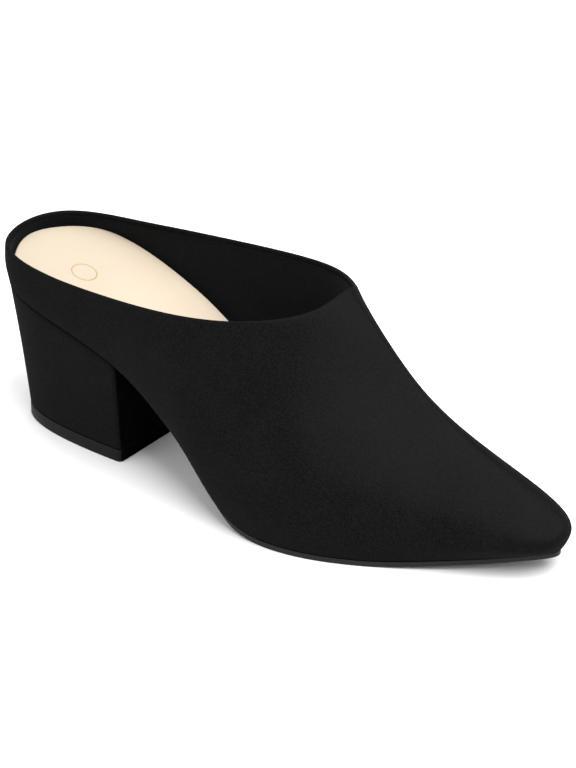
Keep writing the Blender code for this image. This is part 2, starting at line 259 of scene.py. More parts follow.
# Sole line from the heel to the toe: x is a share of LENGTH, seat of HEEL_PITCH, spring of TOE_SPRING.
SOLE_LINE_COLUMNS = ("x", "seat", "spring")
SOLE_LINE = (
    (0.000, 1.000, 0.00),
    (0.102, 0.922, 0.00),
    (0.270, 0.723, 0.00),
    (0.400, 0.434, 0.00),
    (0.552, 0.016, 0.00),
    (0.608, 0.000, 0.00),
    (0.740, 0.000, 0.00),
    (0.888, 0.000, 0.43),
    (1.000, 0.000, 1.00),
)

# Soft folds that the suede keeps from the last: each is a shallow trough between two places on the
# shoe, in metres, with its half width and depth. It fades out towards both places.
FOLDS = (
    ((0.020, -0.012, 0.074), (0.052, -0.026, 0.030), 0.0075, 0.00030),
    ((0.024, 0.022, 0.072), (0.050, 0.038, 0.034), 0.0075, 0.00025),
    ((-0.012, -0.036, 0.062), (0.020, -0.040, 0.030), 0.0090, 0.00022),
    ((0.070, -0.006, 0.038), (0.094, 0.000, 0.022), 0.0060, 0.00018),
)
LEAST_FADE = 0.0001

# Suede: its nap has fine fibres, coarser tufts and wide patches, given as their scale in a metre.
# The faces turned towards the light carry a painted highlight, and the rim is lighter. Along the
# seams lies painted shade.
FIBRES = 2600.0
TUFTS = 1300.0
PATCHES = 60.0
NAP_DEPTH = 0.00014
SUEDE_TONES = ((0.0020, 0.0020, 0.0020, 1.0), (0.0067, 0.0067, 0.0068, 1.0))
# A painted highlight on the faces that turn towards the light over the toe.
PAINTED_HIGHLIGHT = (0.0090, 0.0090, 0.0091, 1.0)
HIGHLIGHT_FROM = (0.63, -0.37, 0.68)
HIGHLIGHT_REACH = (0.82, 0.98)
RIM_LIGHT = (0.0075, 0.0075, 0.0078, 1.0)
RIM_WEAR = 0.0009
# Painted shade along the seams, where one piece meets another.
SEAM_SHADE = (0.0002, 0.0002, 0.0002, 1.0)
SEAM_SHADE_REACH = 0.0011


def column(table, columns, name):
    return np.array([row[columns.index(name)] for row in table], float)


def along_table(places, values, x):
    """Curve through a table's values that never runs past them, flat where neighbours are equal."""
    x = np.clip(np.asarray(x, float), places[0], places[-1])
    step = np.diff(places)
    rate = np.diff(values) / step
    slope = np.zeros(len(places))
    slope[0] = rate[0]
    slope[-1] = rate[-1]
    for i in range(1, len(places) - 1):
        if rate[i - 1] * rate[i] > 0:
            before = 2 * step[i] + step[i - 1]
            after = step[i] + 2 * step[i - 1]
            slope[i] = (before + after) / (before / rate[i - 1] + after / rate[i])
    i = np.clip(np.searchsorted(places, x, side="right") - 1, 0, len(places) - 2)
    u = (x - places[i]) / step[i]
    start = (1 + 2 * u) * (1 - u) ** 2 * values[i] + u * (1 - u) ** 2 * step[i] * slope[i]
    end = u * u * (3 - 2 * u) * values[i + 1] + u * u * (u - 1) * step[i] * slope[i + 1]
    return start + end


def cubic(left, right, bend_left, bend_right, width, from_left):
    """Point of a cubic span from its end values and their second derivatives."""
    from_right = width - from_left
    swing = bend_left * from_right ** 3 + bend_right * from_left ** 3
    start = (left / width - bend_left * width / 6) * from_right
    end = (right / width - bend_right * width / 6) * from_left
    return swing / (6 * width) + start + end


def closed_curve(places, values, period, at):
    """Smooth closed curve through rows of values."""
    count = len(places)
    knots = np.append(places, places[0] + period)
    step = np.diff(knots)
    ring = np.vstack([values, values[:1]])
    system = np.zeros((count, count))
    right_side = np.zeros(values.shape)
    for i in range(count):
        system[i, i - 1] += step[i - 1]
        system[i, i] += 2 * (step[i - 1] + step[i])
        system[i, (i + 1) % count] += step[i]
        ahead = (ring[i + 1] - ring[i]) / step[i]
        behind = (ring[i] - values[i - 1]) / step[i - 1]
        right_side[i] = 6 * (ahead - behind)
    bend = np.linalg.solve(system, right_side)
    bend = np.vstack([bend, bend[:1]])
    at = np.mod(at, period)
    i = np.clip(np.searchsorted(knots, at, side="right") - 1, 0, count - 1)
    width = step[i][:, None]
    from_left = (at - knots[i])[:, None]
    return cubic(ring[i], ring[i + 1], bend[i], bend[i + 1], width, from_left)


def open_curve(places, points, at):
    """Smooth curve up each station through its points; at holds shares, rows by stations."""
    places = np.array(places)
    count = len(places)
    step = np.diff(places)
    system = np.eye(count)
    right_side = np.zeros(points.shape)
    for i in range(1, count - 1):
        system[i, i - 1:i + 2] = (step[i - 1], 2 * (step[i - 1] + step[i]), step[i])
        ahead = (points[i + 1] - points[i]) / step[i]
        behind = (points[i] - points[i - 1]) / step[i - 1]
        right_side[i] = 6 * (ahead - behind)
    bend = np.linalg.solve(system, right_side.reshape(count, -1)).reshape(points.shape)
    i = np.clip(np.searchsorted(places, at, side="right") - 1, 0, count - 2)
    station = np.arange(points.shape[1])[None, :]
    width = step[i][..., None]
    from_left = (at - places[i])[..., None]
    return cubic(points[i, station], points[i + 1, station], bend[i, station], bend[i + 1, station],
                 width, from_left)


def unit(vectors):
    return vectors / np.linalg.norm(vectors, axis=-1, keepdims=True)


def square_to(change):
    """Outward directions, level, from the changes of x and y along an outline."""
    along = unit(change)
    return np.column_stack([along[:, 1], -along[:, 0], np.zeros(len(along))])


def sole_line(x):
    """Height of the last's underside over the ground."""
    places = column(SOLE_LINE, SOLE_LINE_COLUMNS, "x") * LENGTH
    seat = column(SOLE_LINE, SOLE_LINE_COLUMNS, "seat") * HEEL_PITCH
    spring = column(SOLE_LINE, SOLE_LINE_COLUMNS, "spring") * TOE_SPRING
    return SOLE_THICKNESS + GAP + along_table(places, seat + spring, x)


class Last:
    """The shape that every piece follows: its outline underneath, its collar and its skin between."""

    def __init__(self):
        named = {name: column(SECTIONS, SECTION_COLUMNS, name) for name in SECTION_COLUMNS}
        for name in FULLNESS_COLUMNS:
            named[name] = column(FULLNESS_SHARES, FULLNESS_COLUMNS, name)
        foot_x = named["x"] * LENGTH
        collar_z = sole_line(foot_x) + named["rise"] * INSTEP_RISE

        def side(name, hand):
            return np.column_stack([
                foot_x,
                hand * named[name] * BALL_WIDTH,
                named["collar_x"] * COLLAR_LENGTH,
                hand * named["collar_" + name] * COLLAR_WIDTH,
                collar_z,
                named["low_place"],
                named["margin"] * LASTING_MARGIN,
                named[name + "_low"] * FULLNESS,
                named[name + "_mid"] * FULLNESS,
                named[name + "_high"] * FULLNESS,
            ])

        outer = side("outer", -1)
        inner = side("inner", 1)
        keys = np.vstack([outer, inner[-2:0:-1]])
        # Both sides share one spacing, so that a station and its partner across the foot have one x.
        spacing = np.linalg.norm(np.roll(keys[:, :2], -1, axis=0) - keys[:, :2], axis=1) ** 0.5
        spacing = (spacing + spacing[::-1]) / 2
        places = np.concatenate([[0], np.cumsum(spacing)[:-1]])
        period = spacing.sum()
        at = np.arange(STATIONS) / STATIONS * period
        values = closed_curve(places, keys, period, at)
        nudge = SLOPE_STEP * period / STATIONS
        ahead = closed_curve(places, keys, period, at + nudge)
        behind = closed_curve(places, keys, period, at - nudge)
        change = ahead - behind
        self.outward = square_to(change[:, :2])
        collar_outward = square_to(change[:, 2:4])
        self.foot = np.column_stack([values[:, 0], values[:, 1], sole_line(values[:, 0])])
        self.collar = values[:, 2:5]
        self.margin = values[:, 6]
        up = self.collar - self.foot
        chord = unit(up)
        shares = (values[:, 5], np.full(STATIONS, PLACES_UP[2]), np.full(STATIONS, PLACES_UP[3]))
        points = [self.foot]
        for k, turn in enumerate(TURN_TO_COLLAR):
            out = (1 - turn) * self.outward + turn * collar_outward
            out = unit(out - (out * chord).sum(axis=1, keepdims=True) * chord)
            points.append(self.foot + shares[k][:, None] * up + values[:, 7 + k][:, None] * out)
        self.points = np.array(points + [self.collar])
        self.height = np.linalg.norm(up, axis=1)
        from_toe = np.arange(STATIONS) / STATIONS - 0.5
        apart = np.abs(from_toe[:, None] - from_toe)
        weight = np.exp(-(np.minimum(apart, 1 - apart) / RIDGE_ROUND) ** 2)
        self.rounding = weight / weight.sum(axis=1, keepdims=True) - np.eye(STATIONS)
        self.nearness = np.exp(-(from_toe / TOE_SPREAD) ** 2)

    def skin(self, shares):
        skin = open_curve(PLACES_UP, self.points, shares)
        risen = np.clip((shares - RIDGE_START) / (RIDGE_FULL - RIDGE_START), 0, 1)
        kept = np.clip((1 - shares) / (1 - RIDGE_FULL), 0, 1)
        amount = self.nearness * risen * risen * (3 - 2 * risen) * kept * (2 - kept)
        return skin + amount[:, :, None] * (self.rounding @ skin)

    def skin_frame(self, shares):
        """Outward normals of the skin and its directions up the sections."""
        nudge = SLOPE_STEP / WALL_ROWS
        low = np.clip(shares - nudge, 0, 1)
        high = np.clip(shares + nudge, 0, 1)
        upward = unit(self.skin(high) - self.skin(low))
        skin = self.skin(shares)
        onward = np.roll(skin, -1, axis=1) - np.roll(skin, 1, axis=1)
        return unit(np.cross(onward, upward)), upward

    def edge_inset(self, inset):
        """The outline underneath, moved in towards the foot."""
        moved = self.foot - self.outward * np.broadcast_to(inset, (STATIONS,))[:, None]
        return moved[:, :2]


def folded(points, normals):
    """The surface with its soft folds pressed in."""
    pressed = np.zeros(points.shape[:-1])
    for start, end, half_width, depth in FOLDS:
        start = np.array(start) + SHIFT
        line = np.array(end) + SHIFT - start
        along = np.clip(((points - start) @ line) / (line @ line), 0, 1)
        nearest = start + along[..., None] * line
        apart = np.linalg.norm(points - nearest, axis=-1)
        fade = np.sqrt(np.sin(math.pi * along).clip(LEAST_FADE, 1))
        pressed += depth * fade * np.exp(-(apart / half_width) ** 2)
    return points - pressed[..., None] * normals


def new_piece(name, points, faces):
    """A piece from its points and faces, moved from the last's place to the frame's."""
    mesh = bpy.data.meshes.new(name)
    mesh.from_pydata([tuple(point - SHIFT) for point in points], [], faces)
    piece = bpy.data.objects.new(name, mesh)
    bpy.context.scene.collection.objects.link(piece)
    bpy.ops.object.select_all(action="DESELECT")
    piece.select_set(True)
    bpy.context.view_layer.objects.active = piece
    bpy.ops.object.mode_set(mode="EDIT")
    bpy.ops.mesh.select_all(action="SELECT")
    bpy.ops.mesh.remove_doubles(threshold=MERGED_WITHIN)
    bpy.ops.mesh.dissolve_degenerate(threshold=MERGED_WITHIN)
    bpy.ops.mesh.normals_make_consistent(inside=False)
    bpy.ops.mesh.select_all(action="DESELECT")
    bpy.ops.object.mode_set(mode="OBJECT")
    return piece


def shell(name, rings):
    """A closed skin of rings, the last joined to the first."""
    rings = [np.asarray(ring) for ring in rings]
    count = len(rings[0])
    faces = []
    for k in range(len(rings)):
        low = k * count
        high = (k + 1) % len(rings) * count
        for i in range(count):
            j = (i + 1) % count
            faces.append((low + i, low + j, high + j, high + i))
    return new_piece(name, np.vstack(rings), faces)


def shade(piece, angle):
    bpy.ops.object.select_all(action="DESELECT")
    piece.select_set(True)
    bpy.context.view_layer.objects.active = piece
    bpy.ops.object.shade_smooth_by_angle(angle=math.radians(angle))


def suede(name, tones):
    """Short black nap of fine fibres, with painted shade at the seams and a painted highlight on top."""
    finish = Finish(name, Sheen_Weight=0.01, Sheen_Roughness=0.6)
    finish.shader.inputs["Specular IOR Level"].default_value = 0.02
    fibres = finish.noise(FIBRES, 2.0, 0.6)
    tufts = finish.noise(TUFTS, 2.0, 0.5)
    patches = finish.noise(PATCHES, 3.0, 0.55)
    share = (fibres * 0.55 + tufts * 0.30 + patches * 0.15).ramp(0.36, 0.64)
    tone = finish.mixed(share, *tones)
    # Painted highlight: faces that turn towards the light over the toe are painted lighter.
    facing = finish.node("TexCoord", {}, {}, "Normal")
    upward = finish.node("VectorMath", {"operation": "DOT_PRODUCT"}, {0: facing, 1: HIGHLIGHT_FROM}, 1)
    highlight = upward.ramp(*HIGHLIGHT_REACH)
    tone = finish.mixed(highlight * (0.55 + 0.45 * share), tone, PAINTED_HIGHLIGHT)
    tone = finish.mixed(finish.painted("rim") * (0.25 + 0.5 * fibres), tone, RIM_LIGHT)
    # Painted shade where the suede meets another piece.
    tone = finish.mixed(finish.painted("seam_shade"), tone, SEAM_SHADE)
    finish.wear(Base_Color=tone, Roughness=0.88 + 0.10 * patches)
    finish.relief(fibres * 0.8 + tufts * 0.6, NAP_DEPTH, 0.6)
    return finish.material


def paint(piece, name, line, reach):
    """Marks the points of a piece that lie near a line, fully on it and not at all beyond its reach."""
    mask = piece.data.attributes.new(name, "FLOAT", "POINT")
    for i, vertex in enumerate(piece.data.vertices):
        apart = np.linalg.norm(line - np.array(vertex.co), axis=1).min()
        mask.data[i].value = max(0.0, 1.0 - apart / reach)


LAST = Last()
upper_low, upper_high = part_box("upper")
SKIN = LAST.skin(np.linspace(0, 1, WALL_ROWS)[:, None] * np.ones(STATIONS)).reshape(-1, 3)
SHIFT = (SKIN.min(axis=0) + SKIN.max(axis=0)) / 2 - (np.array(upper_low) + np.array(upper_high)) / 2
SHIFT[2] = 0.0

rise_up = np.linspace(0, 1, WALL_ROWS + 1)[:, None] ** ROW_CROWDING * np.ones(STATIONS)
outer_normal, outer_up = LAST.skin_frame(rise_up)
outer_skin = folded(LAST.skin(rise_up), outer_normal)
first = FIRST_INNER_ROW * SUEDE_THICKNESS / LAST.height
inner_share = first + (1 - first) * rise_up
inner_normal, inner_up = LAST.skin_frame(inner_share)
inner_skin = folded(LAST.skin(inner_share), inner_normal) - SUEDE_THICKNESS * inner_normal
feather_middle = outer_skin[0] + FEATHER_ROUND * (outer_up[0] - outer_normal[0])
rings = []
for k in range(EDGE_STEPS):
    angle = math.pi / 2 * (1 - k / EDGE_STEPS)
    rings.append(feather_middle + FEATHER_ROUND * (
        math.cos(angle) * outer_normal[0] - math.sin(angle) * outer_up[0]))
rings.extend(outer_skin[1:])
rim_middle = outer_skin[-1] - inner_normal[-1] * SUEDE_THICKNESS / 2
for k in range(1, RIM_STEPS):
    angle = math.pi * k / RIM_STEPS
    rings.append(rim_middle + SUEDE_THICKNESS / 2 * (
        math.cos(angle) * inner_normal[-1] + math.sin(angle) * inner_up[-1]))
rings.extend(inner_skin[::-1])
margin_middle = (LAST.margin + SUEDE_THICKNESS) / 2
for inset, lift in ((SUEDE_THICKNESS, SUEDE_THICKNESS), (margin_middle, SUEDE_THICKNESS),
                    (LAST.margin, SUEDE_THICKNESS), (LAST.margin, 0.0), (margin_middle, 0.0)):
    turned = LAST.edge_inset(inset)
    rings.append(np.column_stack([turned, sole_line(turned[:, 0]) + lift]))
upper = shell("upper_suede", rings)
shade(upper, SMOOTH_ANGLE)
paint(upper, "rim", rim_middle + SUEDE_THICKNESS / 2 * inner_up[-1] - SHIFT, RIM_WEAR)
# Painted shade along the upper's lower edge, where it meets the heel and the sole.
paint(upper, "seam_shade", rings[0] - SHIFT, SEAM_SHADE_REACH)
upper.data.materials.append(suede("black_suede", SUEDE_TONES))
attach(upper, "root")
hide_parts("upper")


# Lining: thin black textile glued inside the upper, from under the folded topline down to the
# insole. Its top edge is held by one row of stitches.
FOLD_DEPTH = 0.0014
LINING_THICKNESS = 0.00035
LINING_LIFT = 0.00002
LINING_ROWS = 40
# How far the painted shade reaches down from the lining's top edge.
LINING_SHADE_REACH = 0.0030
LINING_TONES = ((0.0003, 0.0005, 0.0007, 1.0), (0.0022, 0.0029, 0.0038, 1.0))
LINING_GRAIN = 1100.0
LINING_CLOUDS = 60.0
LINING_DEPTH = 0.0001
STITCH_LENGTH = 0.0017
STITCH_PITCH = 0.0021
STITCH_WIDTH = 0.00030
STITCH_FLATNESS = 0.8
STITCH_DEPTH = 0.0020
THREAD = (0.0034, 0.0034, 0.0036, 1.0)
THREAD_PLY = 3000.0
THREAD_RELIEF = 0.00008

lining_top = 1 - FOLD_DEPTH / LAST.height
lining_share = first + (lining_top - first) * np.linspace(0, 1, LINING_ROWS + 1)[:, None]
lining_normal, lining_up = LAST.skin_frame(lining_share)
lining_skin = folded(LAST.skin(lining_share), lining_normal)
near = SUEDE_THICKNESS + LINING_LIFT
far = near + LINING_THICKNESS
lining_edge = lining_skin[-1] - (near + far) / 2 * lining_normal[-1]
rings = list(lining_skin - near * lining_normal)
for k in range(1, EDGE_STEPS):
    angle = math.pi * k / EDGE_STEPS
    rings.append(lining_edge + LINING_THICKNESS / 2 * (
        math.cos(angle) * lining_normal[-1] + math.sin(angle) * lining_up[-1]))
rings.extend((lining_skin - far * lining_normal)[::-1])
lining = shell("lining", rings)
shade(lining, SMOOTH_ANGLE)
lining_black = Finish("lining_black", Sheen_Weight=0.03, Sheen_Roughness=0.5)
lining_black.shader.inputs["Specular IOR Level"].default_value = 0.1
grain = lining_black.noise(LINING_GRAIN, 3.0, 0.65)
clouds = lining_black.noise(LINING_CLOUDS, 2.0, 0.5)
tone = lining_black.mixed((grain * 0.75 + clouds * 0.25).ramp(0.38, 0.62), *LINING_TONES)
# Painted shade along the lining's top edge, in the groove under the folded topline.
tone = lining_black.mixed(lining_black.painted("seam_shade"), tone, SEAM_SHADE)
lining_black.wear(Base_Color=tone, Roughness=0.85 + 0.1 * clouds)
lining_black.relief(grain, LINING_DEPTH, 0.4)
lining.data.materials.append(lining_black.material)
paint(lining, "seam_shade", lining_skin[-1] - SHIFT, LINING_SHADE_REACH)
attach(lining, "root")

stitch_share = 1 - STITCH_DEPTH / LAST.height[None, :]
stitch_normal = LAST.skin_frame(stitch_share)[0]
stitch_line = folded(LAST.skin(stitch_share), stitch_normal)[0] - far * stitch_normal[0]
steps = np.linalg.norm(np.roll(stitch_line, -1, axis=0) - stitch_line, axis=1)
run = np.concatenate([[0], np.cumsum(steps)])
count = int(run[-1] / STITCH_PITCH)
bpy.ops.object.select_all(action="DESELECT")
bpy.ops.mesh.primitive_uv_sphere_add(segments=8, ring_count=6, radius=0.5)
one_stitch = bpy.context.object
one_points = np.array([vertex.co for vertex in one_stitch.data.vertices])
one_faces = [tuple(face.vertices) for face in one_stitch.data.polygons]
bpy.data.objects.remove(one_stitch, do_unlink=True)
points = []
faces = []
around = np.vstack([stitch_line, stitch_line[:1]])
around_normal = np.vstack([stitch_normal[0], stitch_normal[0][:1]])
for k in range(count):
    places = run[-1] * (k + np.array([0.0, 0.5, 1.0]) * STITCH_LENGTH / STITCH_PITCH) / count
    start, middle, end = [np.array([np.interp(place, run, around[:, axis]) for axis in range(3)])
                          for place in places]
    out = -np.array([np.interp(places[1], run, around_normal[:, axis]) for axis in range(3)])
    along = (end - start) / np.linalg.norm(end - start)
    across = np.cross(out, along)
    base = len(points)
    for x, y, z in one_points:
        points.append(middle + along * x * STITCH_LENGTH + across * y * STITCH_WIDTH
                      + out * z * STITCH_WIDTH * STITCH_FLATNESS)
    faces.extend(tuple(base + i for i in face) for face in one_faces)
stitches = new_piece("topline_stitches", points, faces)
shade(stitches, SMOOTH_ANGLE)
thread = Finish("black_thread", Sheen_Weight=0.01)
thread.shader.inputs["Specular IOR Level"].default_value = 0.05
ply = thread.noise(THREAD_PLY, 2.0, 0.5, (0.5, 1.0, 1.0))
thread.wear(Base_Color=thread.mixed(ply, LINING_TONES[1], THREAD), Roughness=0.55 + 0.2 * ply)
thread.relief(ply, THREAD_RELIEF, 0.5)
stitches.data.materials.append(thread.material)
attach(stitches, "root")


# Insole: a board under a cream sock of smooth synthetic leather, padded under the heel. Its edge is
# pressed down at the wall, its seat is slightly hollowed, and a thin ring of foil is pressed into it.
INSOLE_THICKNESS = 0.0037
INSOLE_EDGE_ROUND = 0.0008
INSOLE_INSET = 0.00225
SEAT_HOLLOW = 0.0005
SEAT_HOLLOW_ENDS = (0.012, 0.085)
HEEL_PAD = 0.0012
HEEL_PAD_LENGTH = 0.060
ACROSS = 16
LEAST_STEP = 0.25
SOCK_TONES = ((0.551, 0.465, 0.357, 1.0), (0.597, 0.501, 0.386, 1.0))
# Painted shade: the sock is darker towards the heel, where more light falls into the shoe.
SOCK_SHADE = (0.30, 0.25, 0.19, 1.0)
SOCK_SHADE_SHARE = 0.38
SOCK_SHADE_ENDS = (-0.115, -0.035)
SOCK_GRAIN = 900.0
SOCK_CLOUDS = 25.0
SOCK_DEPTH = 0.00005
GOLD = (0.40, 0.27, 0.08, 1.0)
RING_MIDDLE = (-0.0937, -0.0015)
RING_RADIUS = 0.0050
RING_WIDTH = 0.00022


def sides(inset, start=0.0):
    """The outer and the inner outline, station by station, from the heel or a start to the toe. A
    station that lies nearer to the start than LEAST_STEP of the usual step is left out."""
    edge = LAST.edge_inset(inset)
    half = STATIONS // 2
    outer = edge[:half + 1]
    inner = edge[[-k % STATIONS for k in range(half + 1)]]
    if start > 0:
        kept = (outer[:, 0] + inner[:, 0]) / 2 > start + LEAST_STEP * LENGTH / STATIONS
        opening = [(start, np.interp(start, line[:, 0], line[:, 1])) for line in (outer, inner)]
        outer = np.vstack([opening[0], outer[kept]])
        inner = np.vstack([opening[1], inner[kept]])
    return outer, inner


def slab(name, levels, hollow=None):
    """A solid from levels, lowest first, each an outer and an inner side. Sheets close it below and
    above, and hollow may press the upper one in."""
    points = []
    faces = []

    def grid(rows):
        base = len(points)
        width = len(rows[0])
        for row in rows:
            points.extend(row)
        for k in range(len(rows) - 1):
            for i in range(width - 1):
                a = base + k * width + i
                faces.append((a, a + 1, a + width + 1, a + width))

    around = [np.vstack([outer, inner[::-1]]) for outer, inner in levels]
    grid([np.vstack([ring, ring[:1]]) for ring in around])
    for level, shape in ((levels[0], None), (levels[-1], hollow)):
        outer, inner = level
        across = np.linspace(0, 1, ACROSS + 1)[None, :, None]
        sheet = outer[:, None, :] * (1 - across) + inner[:, None, :] * across
        if shape:
            sheet[..., 2] += shape(sheet, across[..., 0])
        grid(list(sheet))
    return new_piece(name, points, faces)


def raised(outline, height):
    """Both sides of an outline, lifted to the height that a function gives at each x."""
    return [np.column_stack([side, height(side[:, 0])]) for side in outline]


def seat_hollow(sheet, across):
    """How much lower the seat's points lie than flat: most in its middle, nothing at its edges."""
    start, end = SEAT_HOLLOW_ENDS
    along = np.clip((sheet[..., 0] - start) / (end - start), 0, 1)
    return -SEAT_HOLLOW * np.sin(math.pi * along) * np.sin(math.pi * across) ** 2


def heel_pad(x):
    """The sock is padded under the heel, and the pad runs out towards the arch."""
    along = np.clip(x / HEEL_PAD_LENGTH, 0, 1)
    return HEEL_PAD * (1 - along * along * (3 - 2 * along))


insole_bottom = WALL + GAP
insole_top = insole_bottom + INSOLE_THICKNESS
levels = [raised(sides(INSOLE_INSET), lambda x: sole_line(x) + insole_bottom)]
for k in range(EDGE_STEPS + 1):
    angle = math.pi / 2 * k / EDGE_STEPS
    inset = INSOLE_INSET + INSOLE_EDGE_ROUND * (1 - math.cos(angle))
    lift = insole_top - INSOLE_EDGE_ROUND * (1 - math.sin(angle))
    levels.append(raised(sides(inset), lambda x, lift=lift: sole_line(x) + lift + heel_pad(x)))
insole = slab("insole_sock", levels, seat_hollow)
shade(insole, SMOOTH_ANGLE)
sock = Finish("cream_sock")
sock.shader.inputs["Specular IOR Level"].default_value = 0.4
grain = sock.noise(SOCK_GRAIN, 3.0, 0.6)
clouds = sock.noise(SOCK_CLOUDS, 2.0, 0.5)
tone = sock.mixed((grain * 0.3 + clouds * 0.7).ramp(0.3, 0.7), *SOCK_TONES)
spot = sock.place()
spot_x = sock.node("SeparateXYZ", {}, {0: spot}, 0)
spot_y = sock.node("SeparateXYZ", {}, {0: spot}, 1)
# Painted shade, darker towards the heel, that evens out the light falling into the shoe.
tone = sock.mixed((1 - spot_x.ramp(*SOCK_SHADE_ENDS)) * SOCK_SHADE_SHARE, tone, SOCK_SHADE)
side_x = spot_x - RING_MIDDLE[0]
side_y = spot_y - RING_MIDDLE[1]
from_middle = sock.node("Math", {"operation": "SQRT"}, {0: side_x * side_x + side_y * side_y})
off_ring = sock.node("Math", {"operation": "ABSOLUTE"}, {0: from_middle - RING_RADIUS})
foil = 1 - off_ring.ramp(RING_WIDTH * 0.8, RING_WIDTH * 1.2)
tone = sock.mixed(foil, tone, GOLD)
sock.wear(Base_Color=tone, Roughness=0.5 + 0.1 * clouds - 0.2 * foil, Metallic=foil * 0.6)
sock.relief(grain - 0.5 * foil, SOCK_DEPTH, 0.35)
insole.data.materials.append(sock.material)
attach(insole, "root")
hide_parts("insole")


# Outsole: a thin sheet of black rubber, cut to the sole's outline and cemented under the upper's
# turned margin. Its edge is trimmed and buffed, and its underside has fine crossed ribs.
SOLE_EDGE_ROUND = 0.0005
SEAT_LENGTH = 0.070
# Outsole along its length: x is a share of LENGTH, inset of LASTING_MARGIN, thickness of SOLE_THICKNESS.
EDGE_COLUMNS = ("x", "inset", "thickness")
SOLE_EDGE = (
    (0.28, 0.18, 0.70),
    (0.38, 0.18, 0.70),
    (0.50, 0.10, 0.85),
    (0.58, 0.025, 1.00),
    (0.74, 0.025, 1.00),
    (0.90, 0.025, 0.92),
    (1.00, 0.025, 0.85),
)
RUBBER_TONES = ((0.0055, 0.0055, 0.0057, 1.0), (0.0105, 0.0105, 0.0108, 1.0))
RUBBER_GRAIN = 1800.0
RUBBER_DUST = 140.0
RUBBER_DEPTH = 0.00006
SOLE_ROUGHNESS = 0.42
SOLE_GLOSS = 0.18
# The tread's crossed ribs: how close they are, and how much stronger than the grain.
RIBS = 60.0
TREAD_STRENGTH = 3.0
TREAD_ROUGHNESS = 0.6
# A way to look, and the least that a face's direction has to go that way.
LOOKS_DOWN = ((0.0, 0.0, -1.0), 0.7)


def rubber(name, roughness, tones, gloss, tread=0.0):
    """Black rubber with a fine moulded grain, dusty in its low places, and crossed ribs if it has a
    tread."""
    finish = Finish(name)
    finish.shader.inputs["Specular IOR Level"].default_value = gloss
    grain = finish.noise(RUBBER_GRAIN, 2.0, 0.5)
    dust = finish.noise(RUBBER_DUST, 4.0, 0.6)
    finish.wear(Base_Color=finish.mixed((grain * 0.4 + dust * 0.6).ramp(0.3, 0.7), *tones),
                Roughness=roughness + 0.12 * dust)
    height = grain * 0.6 + dust * 0.4
    if tread:
        for slant in (1.0, -1.0):
            spot = finish.place((RIBS, slant * RIBS, RIBS))
            ribs = finish.node("TexWave", {"bands_direction": "DIAGONAL"}, {"Vector": spot})
            height = height + tread * ribs
    finish.relief(height, RUBBER_DEPTH, 0.3)
    return finish.material


def cover(piece, material, looking):
    """Gives the faces of a piece that look one way a finish of their own."""
    direction, least = looking
    piece.data.materials.append(material)
    for face in piece.data.polygons:
        if face.normal.dot(direction) > least:
            face.material_index = len(piece.data.materials) - 1


edge_places = column(SOLE_EDGE, EDGE_COLUMNS, "x") * LENGTH
edge_insets = column(SOLE_EDGE, EDGE_COLUMNS, "inset") * LASTING_MARGIN
edge_thickness = column(SOLE_EDGE, EDGE_COLUMNS, "thickness") * SOLE_THICKNESS
sole_inset = along_table(edge_places, edge_insets, LAST.foot[:, 0])
breast = SEAT_LENGTH + GAP


def sole_top(x):
    return sole_line(x) - GAP


def sole_bottom(x):
    return sole_top(x) - along_table(edge_places, edge_thickness, x)


levels = []
for k in range(EDGE_STEPS + 1):
    angle = math.pi / 2 * k / EDGE_STEPS
    inset = sole_inset + SOLE_EDGE_ROUND * (1 - math.sin(angle))
    lift = SOLE_EDGE_ROUND * (1 - math.cos(angle))
    levels.append(raised(sides(inset, breast), lambda x, lift=lift: sole_bottom(x) + lift))
levels.append(raised(sides(sole_inset, breast), sole_top))
outsole = slab("outsole_rubber", levels)
shade(outsole, SMOOTH_ANGLE)
outsole.data.materials.append(rubber("sole_rubber", SOLE_ROUGHNESS, RUBBER_TONES, SOLE_GLOSS))
sole_tread = rubber("sole_tread", TREAD_ROUGHNESS, RUBBER_TONES, SOLE_GLOSS, TREAD_STRENGTH)
cover(outsole, sole_tread, LOOKS_DOWN)
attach(outsole, "root")
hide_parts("outsole")


# Heel: a moulded block covered with the upper's suede, which is drawn tight over the corners and
# glued. The flat face towards the arch has a smooth, nearly black finish, painted shade under the arch.
HEEL_BASE_BACK = 0.0067
HEEL_BASE_LENGTH = 0.0598
HEEL_BASE_WIDTH = 0.0456
HEEL_SQUARENESS = 2.9
SEAT_INSET = 0.0002
HEEL_CORNER_ROUND = 0.002
HEEL_EDGE_ROUND = 0.0006
TOP_PIECE_HEIGHT = 0.0055
HEEL_RUNGS = 60
CORNER_STEPS = 8
HEEL_LEVELS = 16
HEEL_TOP_STEPS = 3
BLOCK_SMOOTH_ANGLE = 40
# About the block's height, which turns the round of its edges into a share of it.
BLOCK_HEIGHT = 0.05
# Painted shade: nearly black tones for the faces towards the arch.
BREAST_SHADE_TONES = ((0.0012, 0.0012, 0.0012, 1.0), (0.0032, 0.0032, 0.0032, 1.0))
BREAST_ROUGHNESS = 0.9
LOOKS_FORWARD = ((1.0, 0.0, 0.0), 0.8)


def heel_outline(back, front, half_width):
    """Both sides of a D with rounded front corners; half_width gives the two sides at an x."""
    straight = front - HEEL_CORNER_ROUND
    outer = [(back, 0.0)]
    inner = [(back, 0.0)]
    for k in range(1, HEEL_RUNGS + CORNER_STEPS + 1):
        turned = max(0, k - HEEL_RUNGS) * math.pi / 2 / CORNER_STEPS
        opened = math.pi / 2 * min(k, HEEL_RUNGS) / HEEL_RUNGS
        x = back + (straight - back) * (1 - math.cos(opened)) + HEEL_CORNER_ROUND * math.sin(turned)
        less = HEEL_CORNER_ROUND * (1 - math.cos(turned))
        wide_outer, wide_inner = half_width(x)
        outer.append((x, less - wide_outer))
        inner.append((x, wide_inner - less))
    return np.array(outer), np.array(inner)


